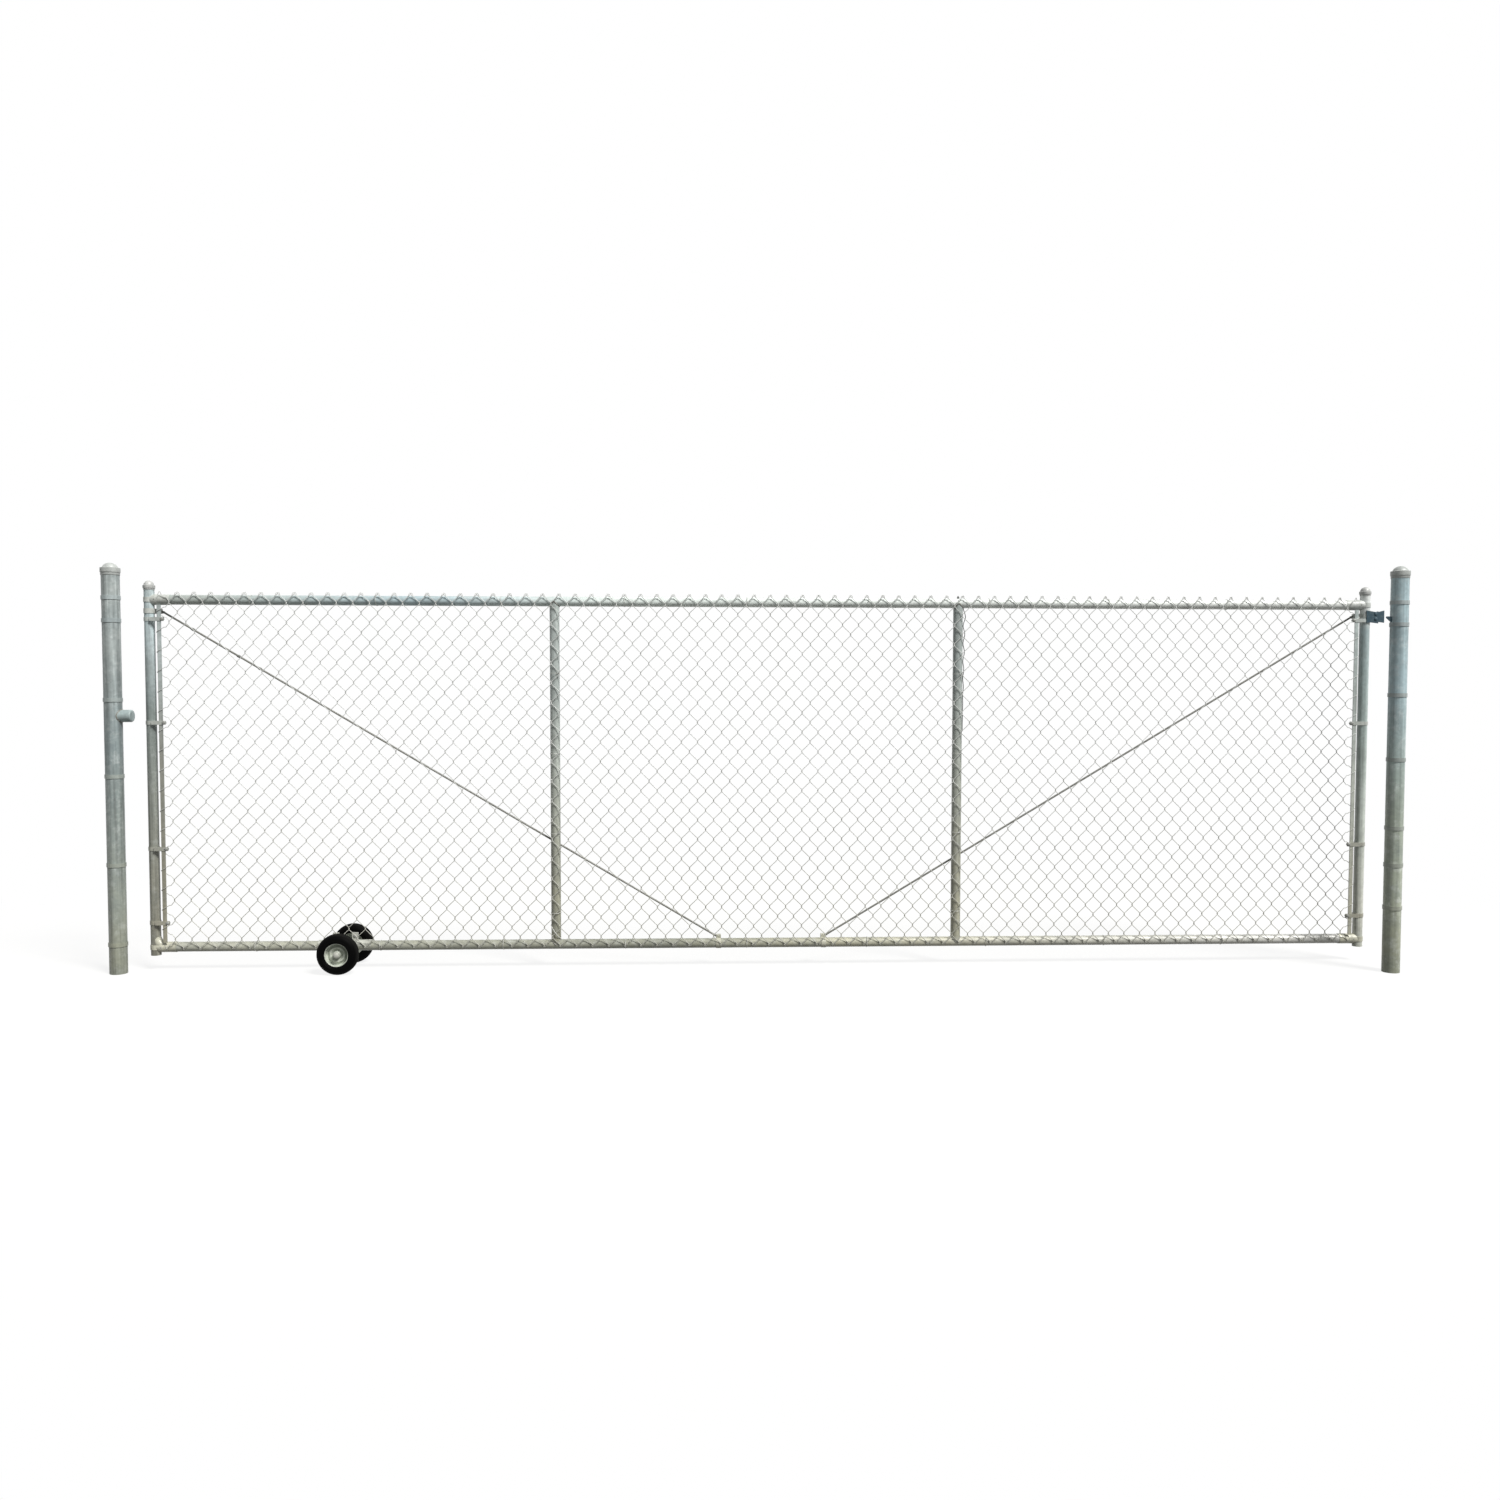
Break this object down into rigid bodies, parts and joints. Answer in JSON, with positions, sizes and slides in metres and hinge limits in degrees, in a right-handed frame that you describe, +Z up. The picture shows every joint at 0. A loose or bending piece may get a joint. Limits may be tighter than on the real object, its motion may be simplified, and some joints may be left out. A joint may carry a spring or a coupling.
{
  "type": "sliding chain-link driveway gate",
  "caption": "Wide sliding driveway gate: pipe-framed chain-link leaf with brace rods, rolling on a pair of rubber-tyred wheels between two capped pipe posts.",
  "frame": {"origin": "centre of the left post's foot, at ground level", "axes": "+X along the leaf towards the right post, which is the way it opens; +Z up; -Y towards the street"},
  "size_m": [6.3794, 0.4736, 2.003],
  "materials": {
    "galvanized_pipe": "weathered hot-dip galvanizing",
    "cast_caps": "dull cast aluminium",
    "galvanized_fittings": "galvanized pressed steel",
    "brace_rods": "dull galvanized rod",
    "fabric_wire": "galvanized wire",
    "zinc_wheel_parts": "zinc-plated pressed steel",
    "tyre_rubber": "matt black rubber",
    "dark_bracket": "dark blue-grey paint"
  },
  "bodies": {
    "posts": {"left_post": "galvanized_pipe", "left_post_cap": "cast_caps", "left_post_bands": "galvanized_fittings", "latch_stub": "galvanized_pipe", "right_post": "galvanized_pipe", "right_post_cap": "cast_caps", "right_post_bands": "galvanized_fittings", "right_post_catch": "dark_bracket"},
    "leaf": {"left_upright": "galvanized_pipe", "left_upright_cap": "cast_caps", "right_upright": "galvanized_pipe", "right_upright_cap": "cast_caps", "top_rail": "galvanized_pipe", "bottom_rail": "galvanized_pipe", "left_mid_upright": "galvanized_pipe", "right_mid_upright": "galvanized_pipe", "top_left_corner": "galvanized_fittings", "bottom_left_corner": "galvanized_fittings", "top_right_corner": "galvanized_fittings", "bottom_right_corner": "galvanized_fittings", "left_tension_bar": "galvanized_fittings", "right_tension_bar": "galvanized_fittings", "left_tension_bands": "galvanized_fittings", "right_tension_bands": "galvanized_fittings", "left_brace_rod": "brace_rods", "right_brace_rod": "brace_rods", "left_upper_rod_band": "galvanized_fittings", "right_upper_rod_band": "galvanized_fittings", "left_lower_rod_band": "galvanized_fittings", "right_lower_rod_band": "galvanized_fittings", "wheel_saddle": "zinc_wheel_parts", "wheel_axle": "zinc_wheel_parts", "tail_bracket": "dark_bracket", "mesh_panel_1": "fabric_wire", "mesh_panel_2": "fabric_wire", "mesh_panel_3": "fabric_wire", "mesh_panel_4": "fabric_wire", "mesh_panel_5": "fabric_wire", "mesh_panel_6": "fabric_wire", "mesh_panel_7": "fabric_wire"},
    "front_wheel": {"front_tyre": "tyre_rubber", "front_hub": "zinc_wheel_parts"},
    "rear_wheel": {"rear_tyre": "tyre_rubber", "rear_hub": "zinc_wheel_parts"}
  },
  "joints": [
    {"name": "leaf_slide", "type": "slide", "parent": "posts", "child": "leaf", "axis": [1, 0, 0], "range_m": [0, 5.9]},
    {"name": "front_wheel_spin", "type": "hinge", "parent": "leaf", "child": "front_wheel", "pos_m": [1.08195, 0.066, 0.1], "axis": [0, 1, 0], "continuous": true},
    {"name": "rear_wheel_spin", "type": "hinge", "parent": "leaf", "child": "rear_wheel", "pos_m": [1.08195, 0.066, 0.1], "axis": [0, 1, 0], "continuous": true}
  ]
}
